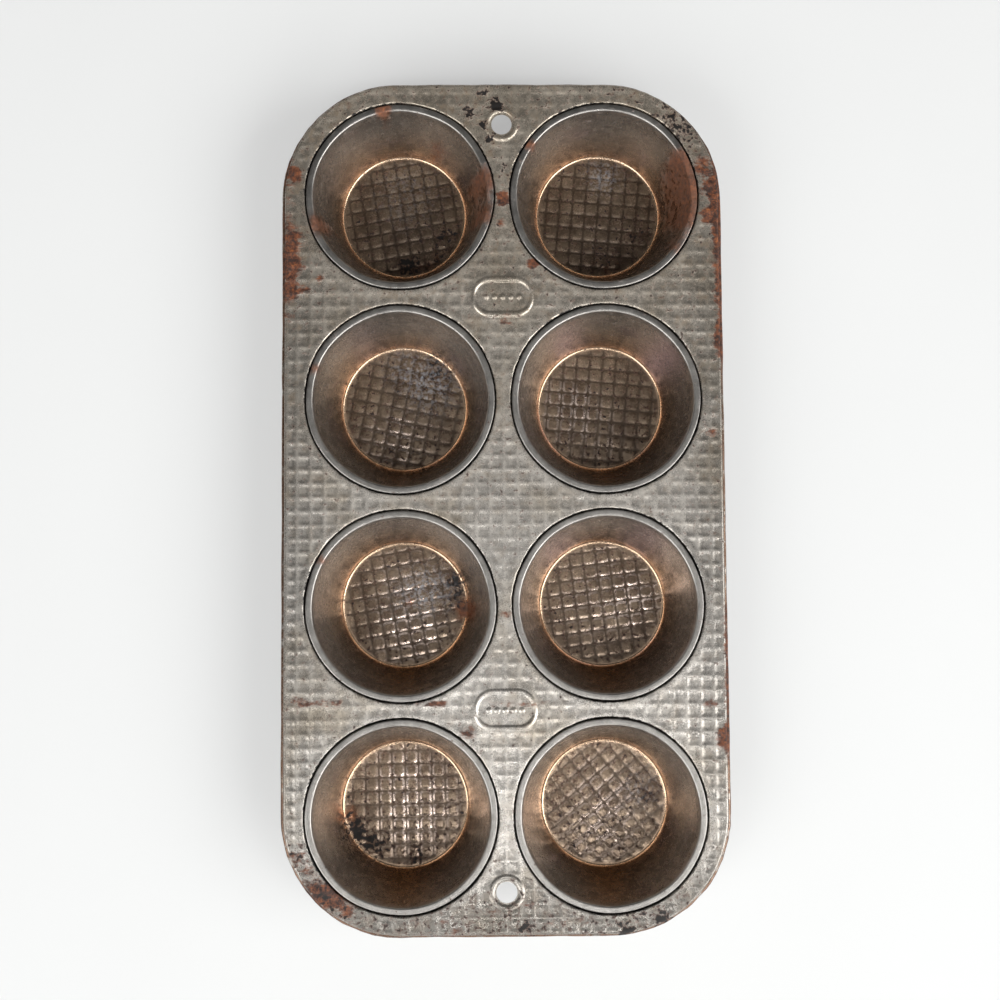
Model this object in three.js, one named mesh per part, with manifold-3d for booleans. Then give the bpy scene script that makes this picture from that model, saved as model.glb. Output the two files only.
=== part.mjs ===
// A muffin tin of tinplate: eight deep-drawn cups, each held in one pressed frame by a folded seam.
// Millimetres, +Z up. X runs across the tin and Y along it, and the floors of the cups stand on z = 0.

import * as THREE from 'three';
import { mergeVertices } from 'three/addons/utils/BufferGeometryUtils.js';
import Module from 'manifold-3d';

const wasm = await Module();
wasm.setup();

// Driving dimensions
const SHEET = 0.5; // thickness of the tinplate
const CLEARANCE = 0.3; // air between the folded sheets of a seam
const TIN_LENGTH = 355.6; // over the curled edge: 14 inches
const TIN_WIDTH = 185;
const TIN_HEIGHT = 33; // from the floors' underside to the top of the frame
const CORNER_R = 49.4; // outline's corners, nearly concentric with the corner cups

const ROWS = 4;
const COLUMNS = 2;
const PITCH = 85.7; // 3 3/8 inches, both ways

const FLOOR_R = 26.2; // flat part of a cup's floor
const WALL_FOOT_R = 28.2;
const FLOOR_FILLET = 1.9;
const MOUTH_R = 37; // top of the sloping wall
const MOUTH_BEND = 0.6;
const RING_R = 39.2; // outer edge of the flat ring round the mouth

const COLLAR_R = 40; // bore of the frame's turned-down collar
const COLLAR_DEPTH = 3.6;
const COLLAR_BEND = 0.9;
const HOOK_RISE = 2.3; // how far the cup's hook comes back up outside the collar

const EDGE_BEND = 0.85; // where the frame turns down into its skirt
const SKIRT_DEPTH = 4.4; // from the top of the frame to the middle of the curl
const CURL_R = 1.05; // outside of the curled edge
const SKIRT_R = CORNER_R - 2 * CURL_R + SHEET; // skirt's outer face, from the corners' centres

const HANG_HOLE_R = 4.3;
const HANG_HOLE_Y = 159.1; // from the tin's middle
const HOLE_RIDGE_R = 7.4; // foot of the ridge pressed round a hang hole

const PLATE_LENGTH = 26.2; // over the ridge of a blank name plate
const PLATE_WIDTH = 17.6;
const PLATE_CORNER_R = 8.1;
const PLATE_RIDGE = 2.5; // width of that ridge
const RIDGE_HEIGHT = 0.6;
const RIDGE_SLOPE = 0.6; // run of a ridge's side

const SEAM_SEGMENTS = 24; // facets round a cup
const HOLE_SEGMENTS = 16;
const CORNER_STEPS = 6; // facets round each outer corner
const CURL_STEPS = 6;
const PLATE_STEPS = 3; // facets round each corner of a name plate
const OVERLAP = 0.8; // flat band by which pressed rings lap the web before they are joined

const TINPLATE = { color: 0x96928a, roughness: 0.45, metalness: 0.85 };
const CUP_STEEL = { color: 0x6e665c, roughness: 0.4, metalness: 0.85 };

// Points along an arc in a section, angles in degrees.
function arc(r, z, radius, from, to, steps) {
  return Array.from({ length: steps + 1 }, (_, i) => {
    const angle = THREE.MathUtils.degToRad(from + ((to - from) * i) / steps);
    return new THREE.Vector2(r + radius * Math.cos(angle), z + radius * Math.sin(angle));
  });
}

// Closed section of a bent sheet: the line is one face, and the sheet lies on the line's right-hand side.
function sheetSection(line) {
  const rightOf = (from, to) => {
    const run = to.clone().sub(from).normalize();
    return new THREE.Vector2(run.y, -run.x);
  };
  const back = line.map((point, i) => {
    const before = rightOf(line[Math.max(i - 1, 0)], line[Math.max(i, 1)]);
    const after = rightOf(line[Math.min(i, line.length - 2)], line[Math.min(i + 1, line.length - 1)]);
    const bisector = before.clone().add(after).normalize();
    return point.clone().addScaledVector(bisector, SHEET / bisector.dot(before));
  });
  return [...line, ...back.reverse()];
}

// A section turned round the Z axis. A section that ends off the axis is closed on itself.
function turned(section, segments) {
  const onAxis = section[0].x === 0;
  const profile = onAxis ? section : [...section, section[0]];
  return new THREE.LatheGeometry(profile.slice().reverse(), segments).rotateX(Math.PI / 2);
}

// A section, whose r is counted from the corners' centres, carried round a rounded rectangle.
function carriedRound(section, halfX, halfY, cornerR, segmentsPerCorner) {
  const columns = 4 * (segmentsPerCorner + 1);
  const profile = [...section, section[0]].reverse();
  const ring = new THREE.LatheGeometry(profile, columns);
  const position = ring.getAttribute('position');
  for (let column = 0; column <= columns; column++) {
    const corner = Math.floor(column / (segmentsPerCorner + 1)) % 4;
    const step = column % (segmentsPerCorner + 1);
    const angle = (Math.PI / 2) * (corner + step / segmentsPerCorner);
    const centreX = (corner === 0 || corner === 3 ? 1 : -1) * (halfX - cornerR);
    const centreY = (corner < 2 ? 1 : -1) * (halfY - cornerR);
    profile.forEach((point, i) => {
      const x = centreX + point.x * Math.cos(angle);
      const y = centreY + point.x * Math.sin(angle);
      position.setXYZ(column * profile.length + i, x, y, point.y);
    });
  }
  return ring;
}

function roundedRectangle(path, x, y, halfX, halfY, cornerR) {
  const signs = [[1, 1], [-1, 1], [-1, -1], [1, -1]];
  signs.forEach(([sx, sy], i) => {
    const start = (i * Math.PI) / 2;
    path.absarc(x + sx * (halfX - cornerR), y + sy * (halfY - cornerR), cornerR, start, start + Math.PI / 2);
  });
  return path;
}

function flatSheet(shape, curveSegments) {
  const options = { depth: SHEET, bevelEnabled: false, curveSegments };
  return new THREE.ExtrudeGeometry(shape, options).translate(0, 0, TIN_HEIGHT - SHEET);
}

function toSolid(geometry) {
  const bare = geometry.clone();
  bare.deleteAttribute('normal');
  bare.deleteAttribute('uv');
  const merged = mergeVertices(bare);
  const vertProperties = new Float32Array(merged.getAttribute('position').array);
  const triVerts = new Uint32Array(merged.index.array);
  return new wasm.Manifold(new wasm.Mesh({ numProp: 3, vertProperties, triVerts }));
}

function toGeometry(solid) {
  const mesh = solid.getMesh();
  const geometry = new THREE.BufferGeometry();
  geometry.setAttribute('position', new THREE.BufferAttribute(mesh.vertProperties, 3));
  geometry.setIndex(new THREE.BufferAttribute(mesh.triVerts, 1));
  geometry.computeVertexNormals();
  return geometry;
}

function cupCentres() {
  const centres = [];
  for (let row = 0; row < ROWS; row++) {
    for (let column = 0; column < COLUMNS; column++) {
      const x = (column - (COLUMNS - 1) / 2) * PITCH;
      const y = ((ROWS - 1) / 2 - row) * PITCH;
      centres.push(new THREE.Vector2(x, y));
    }
  }
  return centres;
}

// One cup: floor, sloping wall and flat ring, then a hook that folds under and up outside the collar.
function cupGeometry() {
  const top = TIN_HEIGHT;
  const hookFloor = top - COLLAR_DEPTH - CLEARANCE;
  const hookR = COLLAR_R + SHEET + CLEARANCE;
  const line = [
    new THREE.Vector2(0, SHEET),
    new THREE.Vector2(FLOOR_R, SHEET),
    new THREE.Vector2(WALL_FOOT_R, SHEET + FLOOR_FILLET),
    new THREE.Vector2(MOUTH_R, top - MOUTH_BEND),
    new THREE.Vector2(MOUTH_R + MOUTH_BEND, top),
    new THREE.Vector2(RING_R, top),
    new THREE.Vector2(RING_R, hookFloor),
    new THREE.Vector2(hookR, hookFloor),
    new THREE.Vector2(hookR, hookFloor + HOOK_RISE),
  ];
  return turned(sheetSection(line), SEAM_SEGMENTS);
}

// The turned-down collar round one cup.
function collarGeometry(centre) {
  const line = [
    new THREE.Vector2(COLLAR_R, TIN_HEIGHT - COLLAR_DEPTH),
    new THREE.Vector2(COLLAR_R, TIN_HEIGHT - COLLAR_BEND),
    new THREE.Vector2(COLLAR_R + COLLAR_BEND, TIN_HEIGHT),
    new THREE.Vector2(COLLAR_R + COLLAR_BEND + 2 * OVERLAP, TIN_HEIGHT),
  ];
  return turned(sheetSection(line), SEAM_SEGMENTS).translate(centre.x, centre.y, 0);
}

// The outer edge: a short skirt that ends in an open outward curl.
function edgeGeometry() {
  const line = [
    new THREE.Vector2(SKIRT_R - EDGE_BEND - 2 * OVERLAP, TIN_HEIGHT),
    new THREE.Vector2(SKIRT_R - EDGE_BEND, TIN_HEIGHT),
    new THREE.Vector2(SKIRT_R, TIN_HEIGHT - EDGE_BEND),
    ...arc(CORNER_R - CURL_R, TIN_HEIGHT - SKIRT_DEPTH, CURL_R - SHEET, 180, 450, CURL_STEPS),
  ];
  return carriedRound(sheetSection(line), TIN_WIDTH / 2, TIN_LENGTH / 2, CORNER_R, CORNER_STEPS);
}

// A low pressed ridge between an inner and an outer radius, with a flat band beyond each foot.
function ridgeLine(innerR, outerR) {
  return [
    new THREE.Vector2(innerR - 2 * OVERLAP, TIN_HEIGHT),
    new THREE.Vector2(innerR, TIN_HEIGHT),
    new THREE.Vector2(innerR + RIDGE_SLOPE, TIN_HEIGHT + RIDGE_HEIGHT),
    new THREE.Vector2(outerR - RIDGE_SLOPE, TIN_HEIGHT + RIDGE_HEIGHT),
    new THREE.Vector2(outerR, TIN_HEIGHT),
    new THREE.Vector2(outerR + 2 * OVERLAP, TIN_HEIGHT),
  ];
}

// The ridge round a hang hole. Its inner side dips to the hole's edge.
function holeRidgeGeometry(y) {
  const line = ridgeLine(HANG_HOLE_R, HOLE_RIDGE_R).slice(1);
  return turned(sheetSection(line), HOLE_SEGMENTS).translate(0, y, 0);
}

function plateRidgeGeometry(y) {
  const line = ridgeLine(PLATE_CORNER_R - PLATE_RIDGE, PLATE_CORNER_R);
  const halfX = PLATE_LENGTH / 2;
  const halfY = PLATE_WIDTH / 2;
  const ridge = carriedRound(sheetSection(line), halfX, halfY, PLATE_CORNER_R, PLATE_STEPS);
  return ridge.translate(0, y, 0);
}

function plateFieldGeometry(y) {
  const inset = PLATE_RIDGE + OVERLAP;
  const halfX = PLATE_LENGTH / 2 - inset;
  const halfY = PLATE_WIDTH / 2 - inset;
  const field = roundedRectangle(new THREE.Shape(), 0, y, halfX, halfY, PLATE_CORNER_R - inset);
  return flatSheet(field, PLATE_STEPS);
}

// The flat web between the cups, with room for every pressed ring.
function webGeometry() {
  const webR = SKIRT_R - EDGE_BEND - OVERLAP;
  const halfX = TIN_WIDTH / 2 - CORNER_R + webR;
  const halfY = TIN_LENGTH / 2 - CORNER_R + webR;
  const web = roundedRectangle(new THREE.Shape(), 0, 0, halfX, halfY, webR);
  for (const centre of cupCentres()) {
    const r = COLLAR_R + COLLAR_BEND + OVERLAP;
    web.holes.push(new THREE.Path().absarc(centre.x, centre.y, r, 0, 2 * Math.PI));
  }
  for (const side of [1, -1]) {
    const holeR = HOLE_RIDGE_R + OVERLAP;
    web.holes.push(new THREE.Path().absarc(0, side * HANG_HOLE_Y, holeR, 0, 2 * Math.PI));
    const plateX = PLATE_LENGTH / 2 + OVERLAP;
    const plateY = PLATE_WIDTH / 2 + OVERLAP;
    const plateR = PLATE_CORNER_R + OVERLAP;
    web.holes.push(roundedRectangle(new THREE.Path(), 0, side * PITCH, plateX, plateY, plateR));
  }
  return flatSheet(web, SEAM_SEGMENTS / 2);
}

function frameGeometry() {
  const pressings = [edgeGeometry(), ...cupCentres().map(collarGeometry)];
  for (const side of [1, -1]) {
    pressings.push(holeRidgeGeometry(side * HANG_HOLE_Y));
    pressings.push(plateRidgeGeometry(side * PITCH));
    pressings.push(plateFieldGeometry(side * PITCH));
  }
  let frame = toSolid(webGeometry());
  for (const pressing of pressings) frame = frame.add(toSolid(pressing));
  return toGeometry(frame);
}

const tin = new THREE.Group();

const frame = new THREE.Mesh(frameGeometry(), new THREE.MeshStandardMaterial(TINPLATE));
frame.name = 'frame';
tin.add(frame);

cupCentres().forEach((centre, i) => {
  const cup = new THREE.Mesh(cupGeometry(), new THREE.MeshStandardMaterial(CUP_STEEL));
  cup.name = `cup_${i + 1}`;
  cup.position.set(centre.x, centre.y, 0);
  tin.add(cup);
});

export default tin;
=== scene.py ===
"""An old eight-cup muffin tin of pressed tinplate, seen from above on a pale floor.

The frame is one waffle-embossed sheet with a collar round each hole and a curled outer edge. Each cup
is drawn from its own sheet and its rim is folded round the frame's collar. Lengths are in millimetres
until a mesh is made, and angles in degrees. The floor and the lights are given in metres."""
import math

import bmesh
import bpy
import numpy as np
from mathutils import Euler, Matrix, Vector
from mathutils.geometry import delaunay_2d_cdt


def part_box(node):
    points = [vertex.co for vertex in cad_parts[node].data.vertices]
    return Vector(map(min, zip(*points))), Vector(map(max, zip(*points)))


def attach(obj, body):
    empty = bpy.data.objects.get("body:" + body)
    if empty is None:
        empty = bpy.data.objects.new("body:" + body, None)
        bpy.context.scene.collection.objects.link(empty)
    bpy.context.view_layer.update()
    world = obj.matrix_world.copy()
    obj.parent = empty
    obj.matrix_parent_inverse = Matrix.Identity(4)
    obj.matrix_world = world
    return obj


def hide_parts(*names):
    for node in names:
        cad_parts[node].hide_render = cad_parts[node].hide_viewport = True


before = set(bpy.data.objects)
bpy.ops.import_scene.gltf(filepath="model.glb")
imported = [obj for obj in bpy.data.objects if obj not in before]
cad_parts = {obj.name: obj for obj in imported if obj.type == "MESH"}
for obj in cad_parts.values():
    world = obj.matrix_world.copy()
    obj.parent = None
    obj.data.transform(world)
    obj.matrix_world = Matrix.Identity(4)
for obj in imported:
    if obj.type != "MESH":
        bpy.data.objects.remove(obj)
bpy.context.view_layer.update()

MM = 0.001

# ---- Places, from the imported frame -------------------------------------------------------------

CUPS = [f"cup_{number}" for number in range(1, 9)]


def node_box(name):
    """Lowest and highest corner of a CAD node."""
    low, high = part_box(name)
    return np.array(low) / MM, np.array(high) / MM


def node_centre(name):
    low, high = node_box(name)
    return (low[:2] + high[:2]) / 2


CENTRES = {name: node_centre(name) for name in CUPS}
PITCH = CENTRES["cup_1"][1] - CENTRES["cup_3"][1]
TOP = node_box("cup_1")[1][2]  # top face of the frame's sheet
HALF_SIZE = node_box("frame")[1][:2]

# ---- Sizes of the sheet metal ------------------------------------------------------------------

SHEET = 0.5
CORNER_R = 49.4
CORE = HALF_SIZE - CORNER_R  # centre of the far right corner's round

FLOOR_R = 26.2
FLOOR_FILLET = 1.2
MOUTH_R = 36.4
MOUTH_BEND = 0.9
RING_R = 39.3
RING_BEND = 0.5
HOOK_R = 40.8
HOOK_TOP = TOP - 1.6
HOOK_FOOT = TOP - 3.9

COLLAR_R = 39.95
COLLAR_BEND = 0.55
COLLAR_DEPTH = 3.6

EDGE_BEND = 0.85
SKIRT_DEPTH = 4.4
CURL_R = 1.05
SKIRT_R = CORNER_R - 2 * CURL_R + SHEET
EDGE_WAVES_R = 47  # the edge's waves are measured along this radius

HANG_HOLE_R = 4.3
HANG_HOLE_Y = 159.1
HOLE_RIDGE = (4.9, 7.4)  # inner and outer radius of the pressed ridge
PLATE_OUTER = (26.2, 17.6, 8.1)  # length, width and corner radius of the ridge's outer edge
PLATE_INNER = (22.4, 12.0, 5.8)
PIP_SPACING = 3.4
PIP_HEIGHT = 0.35
RIDGE_HEIGHT = 0.45
RIDGE_SLOPE = 0.9

WAFFLE = PITCH / 15
FRAME_ROW = 1.94  # a row of the frame's waffle lies this far beyond the middle
LINE_SHARE = 0.27  # half a line's width as a share of the pitch
FRAME_DEPTH = 0.2
FLOOR_DEPTH = 0.23
FLOOR_TURNS = (10, -5, -11.5, -5, 10, 7, 1, 39)  # how far each floor's waffle is turned, to the left

SEAM_STEPS = 168
HOLE_STEPS = 64
CORNER_STEPS = 28
SIDE_STEP = 2.5
CLEAR = 0.3  # least gap between the flat sheet's inner points and its edges
WIDEST_SEAM = 0.45  # how far a ragged seam reaches out at most

# ---- How uneven the old sheet is, in millimetres either way ------------------------------------

SEAM_DRIFT = 0.09
COLLAR_RAGGED = 0.16
WALL_DENT = 0.1
EDGE_RIPPLE = 0.12
EDGE_FINE_RIPPLE = 0.07
CORNER_PUCKER = 0.13
EDGE_RISE = 0.25
TOP_WARP = 0.16
TOP_FINE_WARP = 0.05
FLOOR_SAG = 0.25
FLOOR_UNEVEN = 0.12


# ---- Small mathematics -------------------------------------------------------------------------

def smooth(value, low, high):
    """0 at low, 1 at high and beyond, with an even slope at both ends."""
    share = np.clip((value - low) / (high - low), 0, 1)
    return share * share * (3 - 2 * share)


def waves(x, y, length, seed, count=7):
    """Smooth unevenness between about -1 and 1, its waves roughly length long."""
    draw = np.random.default_rng(seed)
    total = 0
    for _ in range(count):
        heading = draw.uniform(0, 2 * math.pi)
        pull = 2 * math.pi / (length * draw.uniform(0.7, 1.6))
        phase = draw.uniform(0, 2 * math.pi)
        total = total + np.sin(pull * (x * math.cos(heading) + y * math.sin(heading)) + phase)
    return total / math.sqrt(2 * count)


def wobble(angles, seed, lowest, highest):
    """Unevenness round a circle, with a whole number of waves in the turn."""
    draw = np.random.default_rng(seed)
    total = 0
    for times in range(lowest, highest + 1):
        total = total + draw.normal() * np.sin(times * angles + draw.uniform(0, 2 * math.pi))
    return total / math.sqrt(highest - lowest + 1)


def warp(points):
    """Old tinplate isn't flat: the top rises and falls a little, and the floors stay down."""
    x, y, z = points.T
    lift = TOP_WARP * waves(x, y, 75, 11) + TOP_FINE_WARP * waves(x, y, 24, 12)
    return np.column_stack([x, y, z + lift * smooth(z, 4, TOP - 6)])


def outline_distance(x, y, length, width, corner):
    """How far a point lies outside a rounded oblong round the origin, less than 0 inside it."""
    over_x = np.abs(x) - length / 2 + corner
    over_y = np.abs(y) - width / 2 + corner
    outside = np.hypot(np.maximum(over_x, 0), np.maximum(over_y, 0))
    return outside + np.minimum(np.maximum(over_x, over_y), 0) - corner


def edge_distance(x, y):
    """How far a point lies inside the frame's outline."""
    return -outline_distance(x, y, 2 * HALF_SIZE[0], 2 * HALF_SIZE[1], CORNER_R)


def cup_distance(x, y):
    """How far a point lies from the middle of its nearest cup."""
    return np.min([np.hypot(x - c[0], y - c[1]) for c in CENTRES.values()], axis=0)


def waffle(u, v):
    """1 along the lines of the waffle and 0 on its flat pads; u and v count cells."""
    pad_u = smooth(np.abs(u - np.round(u)), 0, LINE_SHARE)
    pad_v = smooth(np.abs(v - np.round(v)), 0, LINE_SHARE)
    return 1 - pad_u * pad_v


# ---- Meshes ------------------------------------------------------------------------------------

class Shell:
    """The points and faces of one closed piece of sheet metal."""

    def __init__(self):
        self.blocks = []
        self.count = 0
        self.faces = []

    def add(self, points):
        """Adds points and returns their numbers."""
        self.blocks.append(np.asarray(points, dtype=float))
        numbers = np.arange(self.count, self.count + len(points))
        self.count += len(points)
        return numbers

    def bridge(self, one, other):
        """Joins two closed loops of equally many points."""
        quads = np.column_stack([one, other, np.roll(other, -1), np.roll(one, -1)])
        self.faces.extend(quads.tolist())

    def bridge_all(self, loops):
        for one, other in zip(loops, loops[1:]):
            self.bridge(one, other)

    def fill(self, loops, grid, height):
        """Fills the sheet between loops with triangles through the grid's points."""
        points = np.vstack(self.blocks)
        flat = np.vstack([points[loop][:, :2] for loop in loops] + [grid])
        owner = np.full(len(flat), -1)
        edges = []
        first = 0
        for number, loop in enumerate(loops):
            ring = np.arange(first, first + len(loop))
            owner[ring] = number
            edges.extend(np.column_stack([ring, np.roll(ring, -1)]).tolist())
            first += len(loop)
        result = delaunay_2d_cdt([Vector(p) for p in flat], edges, [], 0, 1e-6, False)
        triangles = np.array(result[2])
        owners = owner[triangles]
        in_one_loop = (owners[:, 0] >= 0) & (owners.min(axis=1) == owners.max(axis=1))
        inner = self.add(np.column_stack([grid, height(*grid.T)]))
        numbers = np.concatenate(list(loops) + [inner])
        self.faces.extend(numbers[triangles[~in_one_loop]].tolist())

    def make(self, name, material, masks):
        """Makes the object. masks gives the wear and the painted light at each point, by name."""
        points = np.vstack(self.blocks)
        mesh = bpy.data.meshes.new(name)
        mesh.from_pydata((warp(points) * MM).tolist(), [], self.faces)
        work = bmesh.new()
        work.from_mesh(mesh)
        bmesh.ops.recalc_face_normals(work, faces=work.faces)
        work.to_mesh(mesh)
        work.free()
        for mask, values in masks(points).items():
            values = np.asarray(values, dtype=np.float32)
            kind, field = ("FLOAT", "value") if values.ndim == 1 else ("FLOAT_VECTOR", "vector")
            layer = mesh.attributes.new(mask, kind, "POINT")
            layer.data.foreach_set(field, values.ravel())
        mesh.shade_smooth()
        mesh.set_sharp_from_angle(angle=math.radians(50))
        mesh.materials.append(material)
        piece = bpy.data.objects.new(name, mesh)
        bpy.context.scene.collection.objects.link(piece)
        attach(piece, "root")
        return piece


def arc(r, z, radius, start, end, steps):
    """Points of a section (radius, height) round an arc, from start to end degrees."""
    angles = np.radians(np.linspace(start, end, steps + 1))
    return np.column_stack([r + radius * np.cos(angles), z + radius * np.sin(angles)])


def line(start, end, steps):
    return np.linspace(start, end, steps + 1)


def circle(centre, angles, r, z):
    """Points round a centre, at a radius that may change with the angle."""
    x = centre[0] + r * np.cos(angles)
    y = centre[1] + r * np.sin(angles)
    return np.column_stack([x, y, np.full(len(angles), z)])


def full_turn(steps):
    return np.linspace(0, 2 * math.pi, steps, endpoint=False)


def joined(*parts):
    """One line through several, without repeated points."""
    points = np.vstack(parts)
    step = np.hypot(*np.diff(points, axis=0).T)
    return points[np.concatenate([[True], step > 1e-4])]


def other_face(section):
    """The sheet's other face, on the right-hand side of a section's line."""
    ahead = np.diff(section, axis=0)
    ahead /= np.hypot(*ahead.T)[:, None]
    mean = np.vstack([ahead[:1], ahead[:-1] + ahead[1:], ahead[-1:]])
    mean /= np.hypot(*mean.T)[:, None]
    bend = np.sum(mean * np.vstack([ahead[:1], ahead]), axis=1)
    right = np.column_stack([mean[:, 1], -mean[:, 0]])
    return section + right * (SHEET / bend)[:, None]


def lattice(step, turn, origin, reach):
    """A square grid of points over a reach x reach oblong, turned and passing through origin."""
    counts = [int(size / step) + 1 for size in reach]
    along, up = np.meshgrid(*[np.arange(-count, count + 1) * step for count in counts])
    turn = math.radians(turn)
    x = origin[0] + along * math.cos(turn) - up * math.sin(turn)
    y = origin[1] + along * math.sin(turn) + up * math.cos(turn)
    return np.column_stack([x.ravel(), y.ravel()])


# ---- The frame ---------------------------------------------------------------------------------

def pressed_ridge(inside, outside):
    """A ridge's height between its inner and outer edge, from the distances to them."""
    return RIDGE_HEIGHT * smooth(inside, 0, RIDGE_SLOPE) * smooth(outside, 0, RIDGE_SLOPE)


def frame_relief(x, y):
    """Height of the embossing over the plain sheet."""
    hole_r = np.hypot(x, np.abs(y) - HANG_HOLE_Y)
    plate_y = np.abs(y) - PITCH
    outer = outline_distance(x, plate_y, *PLATE_OUTER)
    inner = outline_distance(x, plate_y, *PLATE_INNER)
    plain = smooth(cup_distance(x, y), 41.2, 43.6) * smooth(edge_distance(x, y), 2.6, 4.2)
    plain = plain * smooth(hole_r, 7, 9.5) * smooth(outer, 0, 2)
    depth = FRAME_DEPTH * (1 + 0.35 * waves(x, y, 60, 21) + 0.4 * smooth(np.abs(x), 70, 84))
    height = -depth * (1 - waffle(x / WAFFLE, (y - FRAME_ROW) / WAFFLE)) * plain
    height += pressed_ridge(hole_r - HOLE_RIDGE[0], HOLE_RIDGE[1] - hole_r)
    height += pressed_ridge(inner, -outer)
    return height + plate_pips(x, plate_y)


def plate_pips(x, y):
    """A plain row of five small raised dots across a name plate's field."""
    along = x - PIP_SPACING * np.clip(np.round(x / PIP_SPACING), -2, 2)
    return PIP_HEIGHT * (1 - smooth(np.hypot(along, y), 0.5, 1.4))


def frame_top(x, y):
    return TOP + frame_relief(x, y)


def frame_underside(x, y):
    return TOP - SHEET + frame_relief(x, y)


def outline_columns():
    """Foot points and outward directions that carry a section round the frame's edge."""
    feet = []
    headings = []
    for quarter, (side_x, side_y) in enumerate([(1, 1), (-1, 1), (-1, -1), (1, -1)]):
        corner = CORE * (side_x, side_y)
        turns = 90 * quarter + np.linspace(0, 90, CORNER_STEPS + 1)
        feet.append(np.tile(corner, (len(turns), 1)))
        headings.append(turns)
        far = CORE * [(-1, 1), (-1, -1), (1, -1), (1, 1)][quarter]
        steps = int(np.hypot(*(far - corner)) / SIDE_STEP)
        feet.append(np.linspace(corner, far, steps + 1)[1:-1])
        headings.append(np.full(steps - 1, 90.0 * (quarter + 1)))
    turns = np.radians(np.concatenate(headings))
    return np.vstack(feet), np.column_stack([np.cos(turns), np.sin(turns)])


def edge_section():
    """From the flat sheet over the bend, down the skirt and round the open curl."""
    bend = arc(SKIRT_R - EDGE_BEND, TOP - EDGE_BEND, EDGE_BEND, 90, 0, 5)
    curl = arc(CORNER_R - CURL_R, TOP - SKIRT_DEPTH, CURL_R - SHEET, 180, 462, 14)
    skirt = line(bend[-1], curl[0], 2)
    return joined(bend, skirt, curl)


def collar_section():
    """Up the collar's inner face and over the bend on to the flat sheet."""
    foot = (COLLAR_R, TOP - COLLAR_DEPTH)
    bend = arc(COLLAR_R + COLLAR_BEND, TOP - COLLAR_BEND, COLLAR_BEND, 180, 90, 6)
    return joined(line(foot, bend[0], 2), bend)


def seam_wobble(name, angles):
    """A seam wanders a little from a true circle; its collar and its cup share that."""
    return SEAM_DRIFT * wobble(angles, 100 + CUPS.index(name), 2, 9)


def add_frame_edge(shell):
    """Adds the bend, skirt and curl, and returns the loops where the flat sheet meets them."""
    feet, headings = outline_columns()
    across, along = (feet + EDGE_WAVES_R * headings).T
    ripple = EDGE_RIPPLE * waves(across, along, 30, 31)
    ripple = ripple + EDGE_FINE_RIPPLE * waves(across, along, 9, 32)
    in_corner = np.abs(headings).min(axis=1) > 0.01
    pucker = CORNER_PUCKER * in_corner * waves(across, along, 5, 33)
    section = edge_section()
    loops = []
    for face in (section, other_face(section)):
        rings = []
        for r, z in face:
            low = smooth(TOP - z, 0.6, 3.5)
            reach = r + (ripple + pucker) * low
            rise = z + EDGE_RISE * waves(across, along, 45, 34) * low
            flat = feet + headings * reach[:, None]
            rings.append(shell.add(np.column_stack([flat, rise])))
        shell.bridge_all(rings)
        loops.append(rings)
    shell.bridge(loops[0][-1], loops[1][-1])
    return loops[0][0], loops[1][0]


def add_collar(shell, name):
    """Adds one cup hole's collar, and returns the loops where the flat sheet meets it."""
    angles = full_turn(SEAM_STEPS)
    drift = seam_wobble(name, angles)
    ragged = COLLAR_RAGGED * wobble(angles, 300 + CUPS.index(name), 12, 60)
    section = collar_section()
    loops = []
    for face in (section, other_face(section)):
        rings = []
        for r, z in face:
            up = smooth(z, TOP - COLLAR_BEND, TOP)
            reach = r + drift + ragged * up
            rings.append(shell.add(circle(CENTRES[name], angles, reach, z)))
        shell.bridge_all(rings)
        loops.append(rings)
    shell.bridge(loops[0][0], loops[1][0])
    return loops[0][-1], loops[1][-1]


def add_hang_hole(shell, y):
    """Adds the cut edge of one hang hole, and returns the loops where the flat sheet meets it."""
    angles = full_turn(HOLE_STEPS)
    loops = [shell.add(circle((0, y), angles, HANG_HOLE_R, z)) for z in (TOP, TOP - SHEET)]
    shell.bridge(*loops)
    return loops


def frame_lattice(step, detail_step):
    """Points of the waffle's grid that lie on the flat sheet, closer together where it is pressed."""
    wide = lattice(step, 0, (0, FRAME_ROW), HALF_SIZE)
    close = lattice(detail_step, 0, (0, FRAME_ROW), HALF_SIZE)
    points = np.vstack([wide[~near_pressing(*wide.T)], close[near_pressing(*close.T)]])
    x, y = points.T
    free = cup_distance(x, y) > COLLAR_R + COLLAR_BEND + WIDEST_SEAM + CLEAR
    free &= edge_distance(x, y) > CORNER_R - SKIRT_R + EDGE_BEND + CLEAR
    free &= np.hypot(x, np.abs(y) - HANG_HOLE_Y) > HANG_HOLE_R + 0.25
    return points[free]


def near_pressing(x, y):
    """Whether a point lies on a name plate or round a hang hole."""
    on_plate = outline_distance(x, np.abs(y) - PITCH, *PLATE_OUTER) < 1
    return on_plate | (np.hypot(x, np.abs(y) - HANG_HOLE_Y) < 8.5)


def build_frame(material):
    shell = Shell()
    pairs = [add_frame_edge(shell)]
    pairs += [add_collar(shell, name) for name in CUPS]
    pairs += [add_hang_hole(shell, side * HANG_HOLE_Y) for side in (1, -1)]
    tops, undersides = zip(*pairs)
    shell.fill(tops, frame_lattice(WAFFLE / 8, WAFFLE / 15), frame_top)
    shell.fill(undersides, frame_lattice(WAFFLE / 5, WAFFLE / 5), frame_underside)
    piece = shell.make("frame_sheet", material, frame_masks)
    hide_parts("frame")


# ---- The cups ----------------------------------------------------------------------------------

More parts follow.
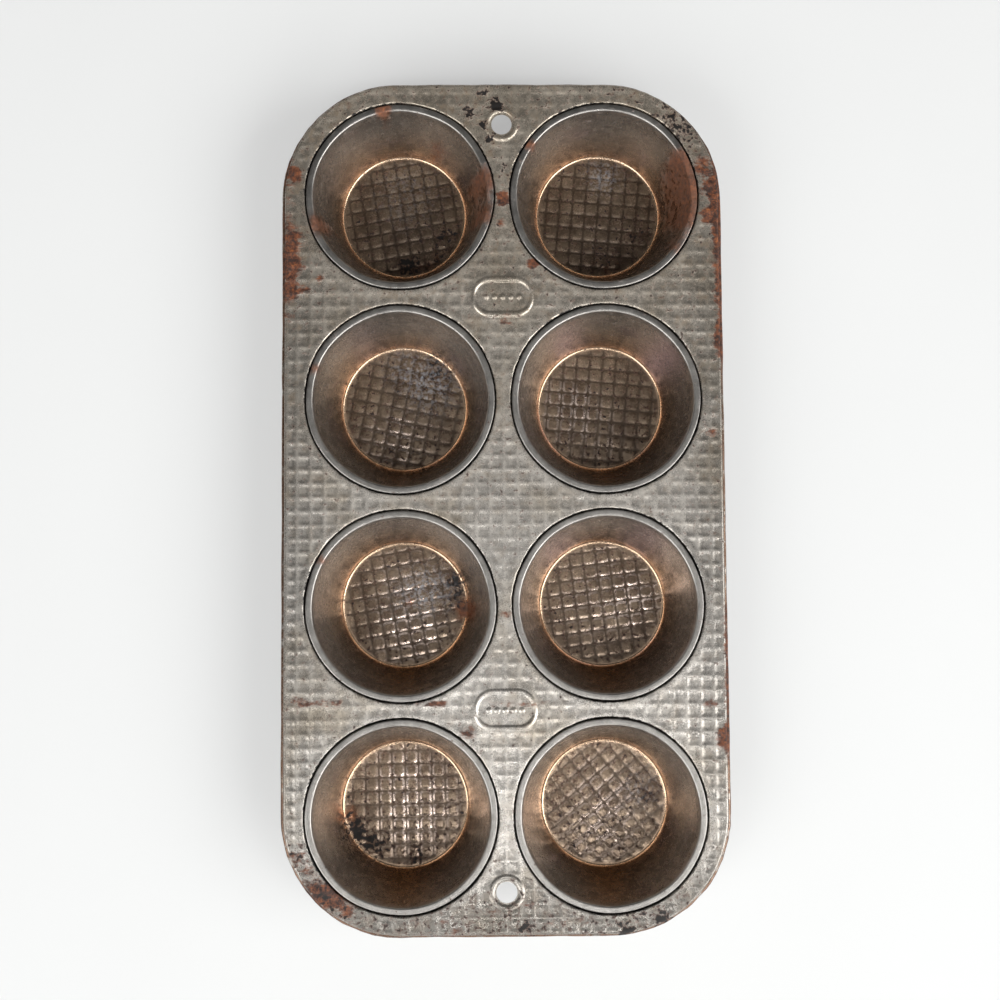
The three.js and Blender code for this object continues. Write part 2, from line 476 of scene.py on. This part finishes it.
def cup_section():
    """From the floor's edge up the wall, over the ring and down into the folded hook."""
    foot = arc(FLOOR_R, SHEET + FLOOR_FILLET, FLOOR_FILLET, -90, -16, 7)
    rim = arc(MOUTH_R + MOUTH_BEND, TOP - MOUTH_BEND, MOUTH_BEND, 164, 90, 5)
    ring_end = (RING_R - RING_BEND, TOP)
    bend = arc(RING_R - RING_BEND, TOP - RING_BEND, RING_BEND, 90, 0, 5)
    turn = (HOOK_R - RING_R) / 2
    under = arc(RING_R + turn, HOOK_FOOT + turn, turn, 180, 360, 8)
    return joined(
        foot,
        line(foot[-1], rim[0], 9),
        rim,
        line(rim[-1], ring_end, 2),
        bend,
        line(bend[-1], under[0], 2),
        under,
        line(under[-1], (HOOK_R, HOOK_TOP), 2),
    )


def floor_cells(name, x, y):
    """Where points lie on one cup's floor, counted in cells of its waffle."""
    cx, cy = CENTRES[name]
    turn = math.radians(FLOOR_TURNS[CUPS.index(name)])
    u = (x - cx) * math.cos(turn) + (y - cy) * math.sin(turn)
    v = (y - cy) * math.cos(turn) - (x - cx) * math.sin(turn)
    return u / WAFFLE, v / WAFFLE


def floor_waffle(name, x, y):
    """1 in the grooves of one cup's floor and 0 on its pads."""
    return waffle(*floor_cells(name, x, y))


def floor_relief(name, x, y):
    """Height of one cup's floor over a flat one."""
    cx, cy = CENTRES[name]
    r = np.hypot(x - cx, y - cy)
    depth = FLOOR_DEPTH * (1 + 0.25 * waves(x, y, 35, 41))
    sag = FLOOR_SAG * smooth(r, 24, 0)
    sag = sag + FLOOR_UNEVEN * waves(x, y, 30, 42) * smooth(r, FLOOR_R, 18)
    return sag - depth * floor_waffle(name, x, y) * smooth(r, FLOOR_R, FLOOR_R - 2.2)


def build_cup(name, material):
    number = CUPS.index(name)
    centre = CENTRES[name]
    angles = full_turn(SEAM_STEPS)
    drift = seam_wobble(name, angles)
    dented = WALL_DENT * wobble(angles, 200 + number, 2, 6)
    section = cup_section()
    shell = Shell()
    faces = []
    for face in (section, other_face(section)):
        rings = []
        for r, z in face:
            wall = smooth(z, 2, 10) * smooth(z, TOP, TOP - 10)
            reach = r + drift * smooth(z, TOP - 8, TOP - 1) + dented * wall
            rings.append(shell.add(circle(centre, angles, reach, z)))
        shell.bridge_all(rings)
        faces.append(rings)
    shell.bridge(faces[0][-1], faces[1][-1])
    for rings, base, fineness in ((faces[0], SHEET, 8), (faces[1], 0, 5)):
        grid = lattice(WAFFLE / fineness, FLOOR_TURNS[number], centre, (FLOOR_R, FLOOR_R))
        r = np.hypot(*(grid - centre).T)
        grid = grid[r < FLOOR_R - 0.25]
        shell.fill([rings[0]], grid, lambda x, y: base + floor_relief(name, x, y))
    piece = shell.make(f"{name}_sheet", material, lambda points: cup_masks(name, points))
    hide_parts(name)


# ---- Wear and painted light --------------------------------------------------------------------

def spots(x, y, *places):
    """Soft round patches, each given by its place, size and strength."""
    total = np.zeros(len(x))
    for px, py, size, strength in places:
        total += strength * np.exp(-((x - px) ** 2 + (y - py) ** 2) / size ** 2)
    return total


def streak(x, y, start, end, width, strength):
    """A soft patch along a straight stretch."""
    start, end = np.array(start), np.array(end)
    run = end - start
    share = np.clip(((x - start[0]) * run[0] + (y - start[1]) * run[1]) / (run @ run), 0, 1)
    gap = np.hypot(x - start[0] - share * run[0], y - start[1] - share * run[1])
    return strength * np.exp(-((gap / width) ** 2))


# Where the frame is worn: places seen from above, each with a size and a strength.
FRAME_RUST = (
    (-86, 137, 4, 0.9), (-87, 112, 4, 0.7), (-89, 101, 6, 1.2), (-88.5, 89, 4, 0.9),
    (-76, 93.5, 2.5, 0.9), (-81.5, 89, 2.5, 0.8), (-18, 167, 5, 0.6), (1, 127, 4, 1.1),
    (-1, 117, 3, 0.9), (13, 99.5, 3.5, 1.1), (2, 76, 4, 0.7), (85, 141, 6, 0.8),
    (88.5, 130.5, 5, 1.1), (86, 120, 4, 1.0), (87, 29, 3.5, 0.9), (91, 22, 3, 0.7),
    (0, -47, 3, 0.9), (85, -84, 4, 0.8), (89, -97, 5, 0.9), (-84, -145, 6, 0.9),
    (-76, -157, 7, 0.9), (-66, -163, 6, 0.7), (-15.5, -94, 4, 0.9),
)
FRAME_SOOT = (
    (-2.5, 167.5, 2.8, 1.3), (-14, 165, 3.2, 0.8), (-7.5, 159, 1.8, 1.1), (-8, 173, 2.2, 0.9),
    (-5.5, 153, 2.0, 0.9), (76.5, 154.5, 7, 0.55), (70, 161.5, 6, 0.55), (63, -170.5, 3, 1.0),
    (48.5, -175.5, 3.4, 0.9), (7, -173.5, 2.6, 1.0), (-74, -159, 9, 0.5), (-84, -145, 6, 0.4),
)


def frame_masks(points):
    """The frame's wear, and where its metal is painted darker as shade, at each point."""
    x, y, z = points.T
    side = HALF_SIZE[0]
    rust = streak(x, y, (side, 150), (side, 62), 4, 1.5)
    rust += streak(x, y, (2 - side, 145), (3 - side, 78), 4.5, 0.65)
    rust += streak(x, y, (side - 1, -45), (side - 1, -108), 2.5, 0.9)
    rust += streak(x, y, (5 - side, -82), (24 - side, -82.5), 2.6, 0.9)
    rust += streak(x, y, (-36, -83), (-26, -83), 2.4, 0.9)
    rust += streak(x, y, (-6, -82.5), (20, -83.5), 2.2, 0.6)
    rust += spots(x, y, *FRAME_RUST)
    soot = spots(x, y, *FRAME_SOOT)
    brown = smooth(y, -60, 170)
    low_end = smooth(y, -148, -170)
    # Painted shade: the metal is darker towards the bottom end and the sides, where less light is
    # reflected.
    painted_shade_and_dullness = smooth(y, -135, -168) + 0.5 * smooth(np.abs(x), 70, 88)
    return {
        "rust": rust + 0.12 * brown + 0.32 * low_end,
        "soot": soot + 0.1 + 0.15 * brown + 0.25 * low_end,
        "brown": brown,
        "painted_shade_and_dullness": painted_shade_and_dullness.clip(0, 1),
        "seam": cup_distance(x, y) - COLLAR_R,
        "rim": smooth(TOP - z, 0.3, 2.2),
        "crest": waffle(x / WAFFLE, (y - FRAME_ROW) / WAFFLE),
    }


def around(name, x, y, *places):
    """Soft patches in a cup, each given by its bearing, distance from the middle, size, strength."""
    cx, cy = CENTRES[name]
    turned = []
    for bearing, r, size, strength in places:
        bearing = math.radians(bearing)
        turned.append((cx + r * math.cos(bearing), cy + r * math.sin(bearing), size, strength))
    return spots(x, y, *turned)


# Where each cup is worn: patches by bearing, distance from the middle, size and strength.
CUP_RUST = {
    "cup_1": [
        (12, 35, 7, 0.9), (-12, 35, 7, 0.8), (101, 38, 3.5, 1.2), (199, 36, 5, 0.9),
        (60, 30, 4, 0.6), (-60, 26, 9, 0.35),
    ],
    "cup_2": [
        (25, 36, 7, 0.8), (5, 36, 8, 1.0), (-15, 36, 7, 0.8), (145, 38, 3, 0.8),
        (-35, 36, 5, 0.6), (-80, 24, 8, 0.3),
    ],
    "cup_3": [(160, 38, 3, 0.6)],
    "cup_5": [(-5, 27, 5, 1.0), (150, 38, 3, 0.6), (20, 2, 3, 0.6)],
    "cup_7": [(190, 24, 4, 0.7)],
}
CUP_SOOT = {
    "cup_1": [(-85, 22, 4.5, 0.9), (-22, 20, 5, 0.6), (-50, 23, 4, 0.4)],
    "cup_2": [(-25, 20, 7, 0.35), (-80, 20, 7, 0.3)],
    "cup_3": [(45, 22, 7, 0.5), (60, 27, 3, 0.5)],
    "cup_5": [(25, 24, 4, 0.9), (5, 23, 5, 0.5)],
    "cup_7": [(205, 25, 6, 0.9), (232, 23, 6, 0.7), (-80, 24, 5, 0.5)],
    "cup_8": [(10, 20, 6, 0.2)],
}
CUP_HAZE = {
    "cup_1": [(80, 10, 14, 0.3)],
    "cup_2": [(80, 18, 7, 0.7)],
    "cup_3": [(40, 16, 10, 0.9), (90, 18, 8, 0.5)],
    "cup_5": [(30, 13, 9, 0.9), (60, 5, 8, 0.5)],
    "cup_8": [(20, 16, 8, 0.4)],
}
# Painted lilac highlights on the walls.
CUP_LILAC_HIGHLIGHTS = {
    "cup_3": [(120, 31, 8, 0.25)],
    "cup_4": [(35, 31, 9, 0.85), (120, 31, 8, 0.5)],
    "cup_6": [(60, 31, 9, 0.55), (130, 31, 9, 0.55)],
}
# Painted highlights on the walls.
CUP_WALL_HIGHLIGHTS = {
    "cup_5": [(0, 31, 6, 0.3), (180, 31, 6, 0.3)],
    "cup_6": [(180, 31, 7, 0.5), (15, 30, 6, 0.4)],
    "cup_7": [(5, 31, 8, 0.9), (180, 31, 6, 0.4)],
    "cup_8": [(178, 31, 9, 0.9), (0, 31, 7, 0.5)],
}
# Where the floors' waffle gets painted glints on the flanks of its grooves.
CUP_GLINTS = {
    "cup_1": [(-90, 10, 14, 0.15)],
    "cup_2": [(-90, 10, 14, 0.2)],
    "cup_3": [(-100, 14, 13, 1.0)],
    "cup_4": [(180, 14, 11, 1.2), (-90, 12, 12, 0.4)],
    "cup_5": [(-75, 10, 12, 1.7), (100, 8, 14, 0.7)],
    "cup_6": [(10, 14, 10, 1.9), (180, 6, 16, 0.6), (90, 16, 7, 0.5)],
    "cup_7": [(0, 8, 14, 1.2), (100, 12, 12, 0.8), (-90, 10, 10, 0.7)],
    "cup_8": [(-100, 10, 14, 1.0), (90, 8, 14, 0.4)],
}
# Floors whose painted glints run along the waffle's columns.
GLINTS_ON_COLUMNS = ("cup_4", "cup_7")


def glint_share(name, x, y):
    """How strongly painted glints show on one floor, mostly along the columns of its waffle or along
    its rows.
    """
    u, v = floor_cells(name, x, y)
    cells = u if name in GLINTS_ON_COLUMNS else v
    near_lines = smooth(np.abs(cells - np.round(cells)), 0.34, 0.22)
    return (0.15 + 0.85 * near_lines) * around(name, x, y, *CUP_GLINTS[name])


def cup_masks(name, points):
    """One cup's wear, its painted highlights, floor reflection and glints at each point, and how far
    up its section the point lies (along).
    """
    x, y, z = points.T
    cx, cy = CENTRES[name]
    r = np.hypot(x - cx, y - cy)
    section = cup_section()
    run = np.concatenate([[0], np.cumsum(np.hypot(*np.diff(section, axis=0).T))])
    gaps = (np.abs(section[:, 0] - pr) + np.abs(section[:, 1] - pz) for pr, pz in zip(r, z))
    nearest = [np.argmin(gap) for gap in gaps]
    on_floor = r < FLOOR_R + 0.3
    return {
        "along": np.where(on_floor, r - FLOOR_R, run[nearest]),
        "floor": smooth(r, FLOOR_R + 0.6, FLOOR_R - 0.6) * smooth(z, 3, 2),
        "ring": smooth(z, TOP - 1.2, TOP - 0.4),
        "height": z / TOP,
        "seam": np.abs(r - (RING_R + COLLAR_R) / 2),
        "rust": around(name, x, y, *CUP_RUST.get(name, [])),
        "soot": 0.3 * (r < FLOOR_R) + around(name, x, y, *CUP_SOOT.get(name, [])),
        "haze": around(name, x, y, *CUP_HAZE.get(name, [])),
        # painted lilac highlights on the walls
        "lilac_highlights": around(name, x, y, *CUP_LILAC_HIGHLIGHTS.get(name, [])),
        # painted highlights on the walls
        "wall_highlights": around(name, x, y, *CUP_WALL_HIGHLIGHTS.get(name, [])),
        # painted reflection of the coppery floor, low on the near side of every cup's wall
        "floor_reflection": around(name, x, y, (-90, 28, 10, 0.8)),
        "groove": floor_waffle(name, x, y),
        # painted glints on the floor
        "painted_glints": glint_share(name, x, y) * (r < FLOOR_R),
        "sweep": np.column_stack([(x - cx) / (r + 1e-6), (y - cy) / (r + 1e-6), run[nearest]]),
    }


# ---- Materials ---------------------------------------------------------------------------------

class Paint:
    """A material under construction. Each call adds one node and returns its output."""

    def __init__(self, name):
        self.material = bpy.data.materials.new(name)
        self.material.use_nodes = True
        self.tree = self.material.node_tree
        self.tree.nodes.clear()
        coordinates = self.tree.nodes.new("ShaderNodeTexCoord").outputs["Object"]
        self.place = self.add("VectorMath", {0: coordinates, "Scale": 1 / MM}, operation="SCALE")

    def add(self, kind, sockets, output=0, **settings):
        """Adds a node. sockets gives its inputs by number or name, as values or other outputs."""
        node = self.tree.nodes.new("ShaderNode" + kind)
        for key, value in settings.items():
            setattr(node, key, value)
        for key, value in sockets.items():
            if isinstance(value, bpy.types.NodeSocket):
                self.tree.links.new(value, node.inputs[key])
            else:
                node.inputs[key].default_value = value
        return node.outputs[output] if node.outputs else None

    def math(self, operation, one, other=0.0):
        return self.add("Math", {0: one, 1: other}, operation=operation)

    def plus(self, one, other):
        return self.math("ADD", one, other)

    def times(self, one, other):
        return self.math("MULTIPLY", one, other)

    def most(self, one, other):
        return self.math("MAXIMUM", one, other)

    def mask(self, name):
        return self.add("Attribute", {}, output=2, attribute_name=name)

    def sweep(self, round_scale, along_scale):
        """A place measured round the cup and along its section, each with its own scale."""
        vector = self.add("Attribute", {}, output=1, attribute_name="sweep")
        scale = (round_scale, round_scale, along_scale)
        return self.add("VectorMath", {0: vector, 1: scale}, operation="MULTIPLY")

    def stretched(self, scale):
        """The place, scaled apart along each axis."""
        return self.add("VectorMath", {0: self.place, 1: scale}, operation="MULTIPLY")

    def noise(self, size, detail=3.0, roughness=0.55, place=None):
        """Noise whose lumps are about size millimetres across."""
        where = place or self.place
        sockets = {"Vector": where, "Scale": 1 / size, "Detail": detail, "Roughness": roughness}
        return self.add("TexNoise", sockets)

    def step(self, value, low, high):
        """0 at low and 1 at high, evenly between."""
        sockets = {0: value, 1: low, 2: high, 3: 0.0, 4: 1.0}
        return self.add("MapRange", sockets, interpolation_type="SMOOTHSTEP")

    def spread(self, noise, low, high):
        """Noise, which keeps near its middle, made into all of low to high."""
        return self.add("MapRange", {0: noise, 1: 0.3, 2: 0.7, 3: low, 4: high})

    def scale(self, value, low, high):
        """0 to 1 made into low to high."""
        return self.add("MapRange", {0: value, 1: 0.0, 2: 1.0, 3: low, 4: high})

    def mix(self, share, one, other):
        sockets = {0: share, 6: one, 7: other}
        return self.add("Mix", sockets, output=2, data_type="RGBA")

    def tint(self, shade, value):
        """A colour made lighter or darker."""
        grey = self.add("CombineColor", {0: value, 1: value, 2: value})
        sockets = {0: 1.0, 6: shade, 7: grey}
        return self.add("Mix", sockets, output=2, data_type="RGBA", blend_type="MULTIPLY")

    def finish(self, shade, metallic, roughness, height):
        """Joins up the surface and returns the material. height is in millimetres."""
        bump = self.add("Bump", {"Strength": 1.0, "Distance": MM, "Height": height})
        sockets = {
            "Base Color": shade,
            "Metallic": metallic,
            "Roughness": roughness,
            "Normal": bump,
            "Specular IOR Level": 0.4,
        }
        surface = self.add("BsdfPrincipled", sockets)
        self.add("OutputMaterial", {"Surface": surface})
        return self.material


def colour(red, green, blue):
    return (red, green, blue, 1.0)


# The frame's metal.
CLEAN = colour(0.43, 0.405, 0.37)
CLEAN_FAR = colour(0.42, 0.37, 0.305)
TARNISHED = colour(0.33, 0.285, 0.225)
# Painted shade for the frame's bottom end and sides.
SHADED_METAL = colour(0.135, 0.125, 0.11)
PATINA = colour(0.22, 0.17, 0.12)
EDGE_RUST = colour(0.15, 0.09, 0.06)
# The cups' walls and rings.
LOW_WALL = colour(0.325, 0.235, 0.165)
HIGH_WALL = colour(0.385, 0.352, 0.315)
BAKED_WALL = colour(0.34, 0.27, 0.265)
# Copper near the floor: partly the metal's own tint, partly a painted reflection of the coppery
# floor.
COPPER_TINT_AND_REFLECTION = colour(0.62, 0.39, 0.265)
# Painted lilac highlight on the walls.
LILAC_HIGHLIGHT_TINT = colour(0.44, 0.35, 0.4)
# Painted reflection of the coppery floor on the near walls.
FLOOR_REFLECTION_TINT = colour(0.5, 0.27, 0.115)
# Painted highlight on the walls.
WALL_HIGHLIGHT_TINT = colour(0.76, 0.6, 0.48)
# Painted highlight along the fillet between wall and floor.
FILLET_HIGHLIGHT = colour(0.64, 0.455, 0.31)
RING_METAL = colour(0.31, 0.295, 0.275)
# The cups' floors.
DARK_STAIN = colour(0.145, 0.1, 0.068)
LIGHT_STAIN = colour(0.265, 0.195, 0.135)
GROOVE_DIRT = colour(0.06, 0.04, 0.027)
# Painted glints on the floors' groove flanks.
GLINT_TINT = colour(0.74, 0.6, 0.52)
# What lies on the metal.
THIN_RUST = colour(0.25, 0.09, 0.035)
DARK_RUST = colour(0.028, 0.013, 0.009)
RUST_RED = colour(0.125, 0.042, 0.019)
BRIGHT_RUST = colour(0.27, 0.088, 0.027)
WHITE_HAZE = colour(0.30, 0.31, 0.335)
BURNT = colour(0.075, 0.03, 0.018)
BLACK = colour(0.007, 0.005, 0.004)


def rust_layer(paint, share, place):
    """Where rust lies, from a mask of how likely it is, and its colour."""
    share = paint.times(share, paint.spread(paint.noise(12, 4.0, 0.6), 0.65, 1.35))
    lumps = paint.plus(paint.noise(3.2, 8.0, 0.75, place), paint.times(share, 0.34))
    cover = paint.step(lumps, 0.66, 0.84)
    mottle = paint.noise(2.0, 7.0, 0.75)
    shade = paint.mix(paint.step(mottle, 0.4, 0.56), DARK_RUST, RUST_RED)
    shade = paint.mix(paint.times(paint.step(mottle, 0.52, 0.7), share), shade, BRIGHT_RUST)
    return cover, shade


def speck_layer(paint, share):
    """Burnt-on food, from a mask of how much there is: its black lumps and their brown edges."""
    lumps = paint.plus(paint.noise(1.8, 4.0, 0.58), paint.times(share, 0.26))
    return paint.step(lumps, 0.70, 0.76), paint.step(lumps, 0.62, 0.74)


def frame_material():
    paint = Paint("frame_tinplate")
    broad = paint.noise(26, 4.0, 0.6)
    middle = paint.noise(4.5, 6.0, 0.7)
    fine = paint.noise(0.6, 4.0, 0.7)
    brown = paint.mask("brown")
    metal = paint.mix(brown, CLEAN, CLEAN_FAR)
    metal = paint.mix(paint.step(broad, 0.42, 0.75), metal, TARNISHED)
    # Painted shade towards the bottom end and the sides.
    painted_shade_and_dullness = paint.times(paint.mask("painted_shade_and_dullness"), paint.spread(middle, 0.5, 1.0))
    metal = paint.mix(painted_shade_and_dullness, metal, SHADED_METAL)
    value = paint.times(paint.spread(middle, 0.74, 1.24), paint.spread(fine, 0.78, 1.22))
    value = paint.times(value, paint.scale(paint.mask("crest"), 0.94, 1.14))
    metal = paint.tint(metal, value)
    patina = paint.step(paint.noise(7, 7.0, 0.74), 0.48, 0.66)
    patina = paint.times(patina, paint.scale(brown, 0.3, 0.85))
    metal = paint.mix(patina, metal, PATINA)
    edge = paint.times(paint.mask("rim"), paint.step(paint.noise(5, 6.0, 0.7), 0.34, 0.5))
    metal = paint.mix(edge, metal, EDGE_RUST)
    rust, rust_shade = rust_layer(paint, paint.mask("rust"), paint.stretched((0.5, 1, 1)))
    specks, burnt = speck_layer(paint, paint.mask("soot"))
    ragged = paint.plus(paint.mask("seam"), paint.times(paint.noise(1.5, 5.0, 0.7), -2.4))
    ragged = paint.plus(ragged, paint.spread(broad, -0.2, 0.45))
    grime = paint.step(ragged, -0.95, -1.15)
    shade = paint.mix(paint.times(burnt, 0.85), metal, BURNT)
    shade = paint.mix(rust, shade, rust_shade)
    shade = paint.mix(paint.most(specks, grime), shade, BLACK)
    covered = paint.most(paint.most(rust, burnt), grime)
    metallic = paint.scale(paint.most(covered, paint.times(patina, 0.5)), 0.72, 0.0)
    rough = paint.plus(paint.spread(middle, 0.2, 0.36), paint.spread(fine, -0.05, 0.05))
    rough = paint.plus(rough, paint.times(covered, 0.35))
    height = paint.plus(paint.times(fine, 0.03), paint.times(middle, 0.05))
    height = paint.plus(height, paint.times(covered, 0.05))
    return paint.finish(shade, metallic, rough, height)


def cup_wall(paint, ring, broad):
    """The clean wall's colour, darker and browner towards the floor, with painted highlights and a
    painted reflection of the floor, and how coppery it is near the floor, partly as painted
    reflection.
    """
    along = paint.mask("along")
    baked = paint.times(paint.step(broad, 0.5, 0.75), 0.6)
    patchy = paint.spread(paint.noise(6, 5.0, 0.65), 0.15, 1.0)
    # Copper near the floor, partly own tint and partly painted reflection of the floor.
    copper_and_reflection = paint.times(paint.step(along, 8, 1), patchy)
    # Painted highlight along the fillet.
    fillet_highlight = paint.times(paint.step(along, 2.2, 0.7), paint.step(along, -1.0, 0.0))
    wall = paint.mix(paint.step(paint.mask("height"), 0.08, 0.8), LOW_WALL, HIGH_WALL)
    wall = paint.mix(baked, wall, BAKED_WALL)
    wall = paint.mix(copper_and_reflection, wall, COPPER_TINT_AND_REFLECTION)
    # Painted lilac highlights on the walls.
    wall = paint.mix(paint.mask("lilac_highlights"), wall, LILAC_HIGHLIGHT_TINT)
    # Painted reflection of the coppery floor on the near, lower wall.
    wall = paint.mix(paint.mask("floor_reflection"), wall, FLOOR_REFLECTION_TINT)
    # Painted highlights on the walls.
    wall = paint.mix(paint.mask("wall_highlights"), wall, WALL_HIGHLIGHT_TINT)
    wall = paint.mix(fillet_highlight, wall, FILLET_HIGHLIGHT)
    return paint.mix(ring, wall, RING_METAL), copper_and_reflection


def cup_floor(paint, middle):
    """The clean floor's colour with painted glints on the flanks of its grooves, and where those
    glints lie.
    """
    groove = paint.mask("groove")
    stained = paint.step(paint.noise(13, 6.0, 0.7), 0.36, 0.62)
    dirt = paint.times(paint.step(groove, 0.55, 0.9), paint.spread(middle, 0.4, 1.0))
    glint_flank = paint.times(paint.step(groove, 0.08, 0.3), paint.step(groove, 0.95, 0.65))
    glint_flank = paint.times(paint.times(glint_flank, paint.mask("painted_glints")), paint.step(middle, 0.32, 0.62))
    base = paint.mix(stained, DARK_STAIN, LIGHT_STAIN)
    base = paint.mix(dirt, base, GROOVE_DIRT)
    # Painted glints on the groove flanks.
    return paint.mix(glint_flank, base, GLINT_TINT), glint_flank


def cup_material():
    paint = Paint("cup_tinplate")
    broad = paint.noise(22, 4.0, 0.6)
    middle = paint.noise(5, 6.0, 0.7)
    fine = paint.noise(0.55, 4.0, 0.7)
    brushed = paint.noise(1.0, 3.0, 0.6, paint.sweep(3.0, 3.5))
    floor = paint.mask("floor")
    ring = paint.mask("ring")
    wall, copper_and_reflection = cup_wall(paint, ring, broad)
    wall = paint.tint(wall, paint.spread(brushed, 0.84, 1.16))
    base, glint_flank = cup_floor(paint, middle)
    metal = paint.mix(floor, wall, base)
    value = paint.times(paint.spread(middle, 0.8, 1.2), paint.spread(fine, 0.78, 1.22))
    metal = paint.tint(metal, value)
    rusty = paint.plus(paint.mask("rust"), paint.spread(middle, -0.25, 0.25))
    metal = paint.mix(paint.times(paint.step(rusty, 0.15, 0.8), 0.8), metal, THIN_RUST)
    rust, rust_shade = rust_layer(paint, paint.mask("rust"), paint.place)
    specks, burnt = speck_layer(paint, paint.mask("soot"))
    ragged = paint.plus(paint.mask("seam"), paint.times(paint.noise(1.5, 5.0, 0.7), -1.2))
    ragged = paint.plus(ragged, paint.spread(broad, -0.15, 0.3))
    grime = paint.step(ragged, -0.25, -0.4)
    shade = paint.mix(paint.times(burnt, 0.85), metal, BURNT)
    shade = paint.mix(paint.times(rust, 0.8), shade, rust_shade)
    shade = paint.mix(paint.most(specks, grime), shade, BLACK)
    haze = paint.times(paint.mask("haze"), paint.step(paint.noise(1.6, 5.0, 0.75), 0.45, 0.62))
    shade = paint.mix(haze, shade, WHITE_HAZE)
    covered = paint.most(paint.most(rust, haze), paint.most(burnt, grime))
    # On the cups only dullness: the floor is less metallic away from its painted glints.
    painted_shade_and_dullness = paint.times(floor, paint.scale(glint_flank, 0.4, 0.0))
    metallic = paint.scale(paint.most(covered, painted_shade_and_dullness), 0.92, 0.0)
    rough = paint.plus(paint.spread(middle, 0.2, 0.32), paint.spread(fine, -0.04, 0.04))
    rough = paint.plus(rough, paint.plus(paint.times(ring, 0.1), paint.times(glint_flank, -0.08)))
    rough = paint.plus(rough, paint.times(copper_and_reflection, -0.05))
    rough = paint.plus(rough, paint.times(covered, 0.4))
    height = paint.plus(paint.times(fine, 0.02), paint.times(middle, 0.04))
    height = paint.plus(height, paint.times(brushed, 0.012))
    height = paint.plus(height, paint.times(covered, 0.06))
    return paint.finish(shade, metallic, rough, height)


# ---- Stage, light and camera -------------------------------------------------------------------

def build_floor():
    mesh = bpy.data.meshes.new("floor")
    half = 6.0
    corners = [(-half, -half, 0), (half, -half, 0), (half, half, 0), (-half, half, 0)]
    mesh.from_pydata(corners, [], [(0, 1, 2, 3)])
    paint = Paint("floor")
    soft = paint.noise(150, 3.0)
    shade = paint.mix(soft, colour(0.35, 0.355, 0.35), colour(0.375, 0.38, 0.375))
    rough = paint.scale(soft, 0.75, 0.85)
    mesh.materials.append(paint.finish(shade, 0.0, rough, 0.0))
    # A little light of its own keeps the floor pale, as marble in a bright room is.
    surface = next(node for node in paint.tree.nodes if node.type == "BSDF_PRINCIPLED")
    surface.inputs["Emission Color"].default_value = colour(1.0, 1.0, 1.0)
    surface.inputs["Emission Strength"].default_value = 0.41
    surface.inputs["Specular IOR Level"].default_value = 0.15
    floor = bpy.data.objects.new("floor", mesh)
    bpy.context.scene.collection.objects.link(floor)


def area_light(name, bearing, height, distance, size, power):
    """A soft light that looks at the tin from a bearing and a height above the horizon."""
    light = bpy.data.lights.new(name, "AREA")
    light.shape = "RECTANGLE"
    light.size, light.size_y = size
    light.energy = power
    lamp = bpy.data.objects.new(name, light)
    bearing, height = math.radians(bearing), math.radians(height)
    flat = math.cos(height)
    away = Vector((math.cos(bearing) * flat, math.sin(bearing) * flat, math.sin(height)))
    lamp.location = away * distance
    lamp.rotation_euler = away.to_track_quat("Z", "Y").to_euler()
    bpy.context.scene.collection.objects.link(lamp)


def build_light():
    """Two broad lights, small ones for the glints, and a sky that is brightest low down."""
    area_light("key_right", -28, 36, 2.6, (2.8, 1.4), 84)
    area_light("key_left", 225, 36, 2.6, (2.2, 1.4), 48)
    area_light("near_fill", -78, 24, 2.6, (1.5, 1.1), 16)
    area_light("overhead", -90, 88, 1.6, (0.8, 0.8), 1.2)
    area_light("window", -90, 70, 1.6, (1.1, 0.12), 0.9)
    area_light("spark", -81, 70, 1.6, (0.22, 0.12), 1.5)
    area_light("high_right", -26, 57, 1.6, (0.4, 0.35), 3.2)
    area_light("high_left", 218, 55, 1.6, (0.4, 0.35), 2.4)
    world = bpy.data.worlds.new("studio")
    bpy.context.scene.world = world
    world.use_nodes = True
    tree = world.node_tree
    tree.nodes.clear()
    direction = tree.nodes.new("ShaderNodeTexCoord").outputs["Generated"]
    parts = tree.nodes.new("ShaderNodeSeparateXYZ")
    tree.links.new(direction, parts.inputs[0])
    fade = tree.nodes.new("ShaderNodeMapRange")
    fade.interpolation_type = "SMOOTHSTEP"
    tree.links.new(parts.outputs["Z"], fade.inputs[0])
    for key, value in {1: 0.08, 2: 0.28, 3: 0.55, 4: 0.02}.items():
        fade.inputs[key].default_value = value
    sky = tree.nodes.new("ShaderNodeBackground")
    sky.inputs["Color"].default_value = colour(1.0, 0.99, 0.97)
    tree.links.new(fade.outputs[0], sky.inputs["Strength"])
    out = tree.nodes.new("ShaderNodeOutputWorld")
    tree.links.new(sky.outputs[0], out.inputs[0])


def build_camera():
    """The camera that was fitted to the photo's eight seams."""
    camera = bpy.data.cameras.new("camera")
    camera.sensor_width = 36
    camera.lens = 47.2
    camera.clip_end = 50
    viewer = bpy.data.objects.new("camera", camera)
    viewer.location = Vector((-8.6, -34.0, 574.2)) * MM
    viewer.rotation_euler = Euler([math.radians(turn) for turn in (3.659, -0.705, -0.401)])
    bpy.context.scene.collection.objects.link(viewer)
    bpy.context.scene.camera = viewer


bpy.context.scene.view_settings.view_transform = "Standard"
build_camera()
build_light()
build_floor()
build_frame(frame_material())
cup_tinplate = cup_material()
for cup in CUPS:
    build_cup(cup, cup_tinplate)
